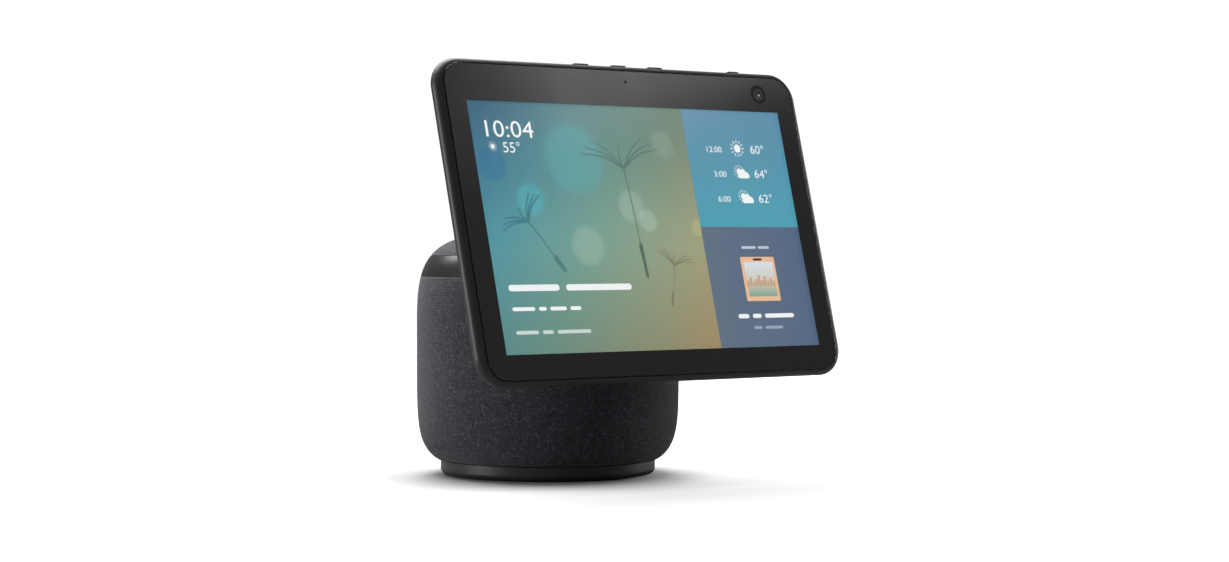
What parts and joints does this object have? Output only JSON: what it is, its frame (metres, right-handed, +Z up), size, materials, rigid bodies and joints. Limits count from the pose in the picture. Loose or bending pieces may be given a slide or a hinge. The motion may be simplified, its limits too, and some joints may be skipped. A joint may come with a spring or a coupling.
{
  "type": "smart display",
  "caption": "Tilting touch display held by a short arm on a round fabric-covered speaker that turns on a fixed foot.",
  "frame": {"origin": "on the vertical turning axis at the underside of the foot pad", "axes": "+Z up; the display faces -Y; +X is the viewer's right"},
  "size_m": [0.251, 0.1853, 0.2271],
  "materials": {
    "rubber_pad": "matte moulded rubber",
    "foot_plastic": "satin moulded plastic",
    "ballast_steel": "plain cut steel",
    "screw_steel": "zinc plated",
    "jack_plastic": "moulded",
    "contact_brass": "plated",
    "circuit_board": "solder mask",
    "bearing_steel": "ground and polished",
    "lamination_steel": "stacked sheet",
    "copper_winding": "enamelled copper wire",
    "magnet": "ferrite and plated steel",
    "inner_plastic": "moulded",
    "charcoal_knit": "heathered knit",
    "band_plastic": "smooth satin",
    "driver_frame": "glass filled",
    "cone_paper": "pressed pulp",
    "soft_rubber": "soft",
    "arm_alloy": "die cast",
    "arm_plastic": "satin",
    "cable_jacket": "flat cable",
    "housing_plastic": "fine matte charcoal",
    "cover_glass": "polished, black printed border",
    "screen": "lit picture",
    "sheet_metal": "stamped",
    "frame_plastic": "moulded",
    "camera_black": "moulded",
    "lens_glass": "coated",
    "key_plastic": "satin"
  },
  "bodies": {
    "foot": {"foot_pad": "rubber_pad", "foot_ring": "foot_plastic", "ballast_plate": "ballast_steel", "foot_screws": "screw_steel", "power_jack": "jack_plastic", "jack_pin": "contact_brass", "jack_board": "circuit_board", "spindle": "bearing_steel", "bearing_lower_race": "bearing_steel", "bearing_balls": "bearing_steel", "motor_stator": "lamination_steel", "motor_coils": "copper_winding"},
    "speaker": {"turntable": "inner_plastic", "spindle_bushing": "contact_brass", "bearing_upper_race": "bearing_steel", "motor_rotor": "lamination_steel", "motor_magnets": "magnet", "fabric_sleeve": "charcoal_knit", "grille_shell": "inner_plastic", "shoulder_band": "band_plastic", "cap_fabric": "charcoal_knit", "cap_shell": "inner_plastic", "enclosure_front": "inner_plastic", "enclosure_rear": "inner_plastic", "body_screws": "screw_steel", "tweeter_left": "driver_frame", "tweeter_right": "driver_frame", "woofer_basket": "driver_frame", "woofer_magnet": "magnet", "audio_board": "circuit_board", "arm_bracket": "arm_alloy", "arm_cover_upper": "arm_plastic", "arm_cover_lower": "arm_plastic", "arm_cable": "cable_jacket", "hinge_pin": "bearing_steel"},
    "woofer": {"woofer_cone": "cone_paper", "dust_cap": "cone_paper", "voice_coil": "copper_winding", "woofer_surround": "soft_rubber", "woofer_spider": "soft_rubber"},
    "display": {"rear_housing": "housing_plastic", "front_glass": "cover_glass", "glass_adhesive": "soft_rubber", "lcd_panel": "screen", "lcd_frame": "sheet_metal", "mid_frame": "frame_plastic", "main_board": "circuit_board", "cpu_shield": "sheet_metal", "camera_module": "camera_black", "camera_lens": "lens_glass", "mic_board": "circuit_board", "button_board": "circuit_board", "hinge_bracket": "sheet_metal", "friction_washers": "sheet_metal", "hinge_covers": "arm_plastic", "housing_screws": "screw_steel"},
    "mute_key": {"mute_button": "key_plastic"},
    "volume_down_key": {"volume_down_button": "key_plastic"},
    "volume_up_key": {"volume_up_button": "key_plastic"},
    "shutter": {"shutter_slider": "key_plastic"}
  },
  "joints": [
    {"name": "base_turn", "type": "hinge", "parent": "foot", "child": "speaker", "pos_m": [0, 0, 0.0125], "axis": [0, 0, 1], "range_deg": [-175, 175]},
    {"name": "display_tilt", "type": "hinge", "parent": "speaker", "child": "display", "pos_m": [0, -0.08186, 0.10843], "axis": [-1, 0, 0], "range_deg": [-15, 30]},
    {"name": "cone_travel", "type": "slide", "parent": "speaker", "child": "woofer", "axis": [0, -1, 0], "range_m": [-0.003, 0.003], "stiffness_N_per_m": 1000, "deforming": ["woofer_surround", "woofer_spider"]},
    {"name": "mute_press", "type": "slide", "parent": "display", "child": "mute_key", "axis": [0, -0.2588, -0.9659], "range_m": [0, 0.0005], "stiffness_N_per_m": 2500, "springref_m": -0.0003},
    {"name": "volume_down_press", "type": "slide", "parent": "display", "child": "volume_down_key", "axis": [0, -0.2588, -0.9659], "range_m": [0, 0.0005], "stiffness_N_per_m": 2500, "springref_m": -0.0003},
    {"name": "volume_up_press", "type": "slide", "parent": "display", "child": "volume_up_key", "axis": [0, -0.2588, -0.9659], "range_m": [0, 0.0005], "stiffness_N_per_m": 2500, "springref_m": -0.0003},
    {"name": "shutter_slide", "type": "slide", "parent": "display", "child": "shutter", "axis": [1, 0, 0], "range_m": [0, 0.0084]}
  ]
}
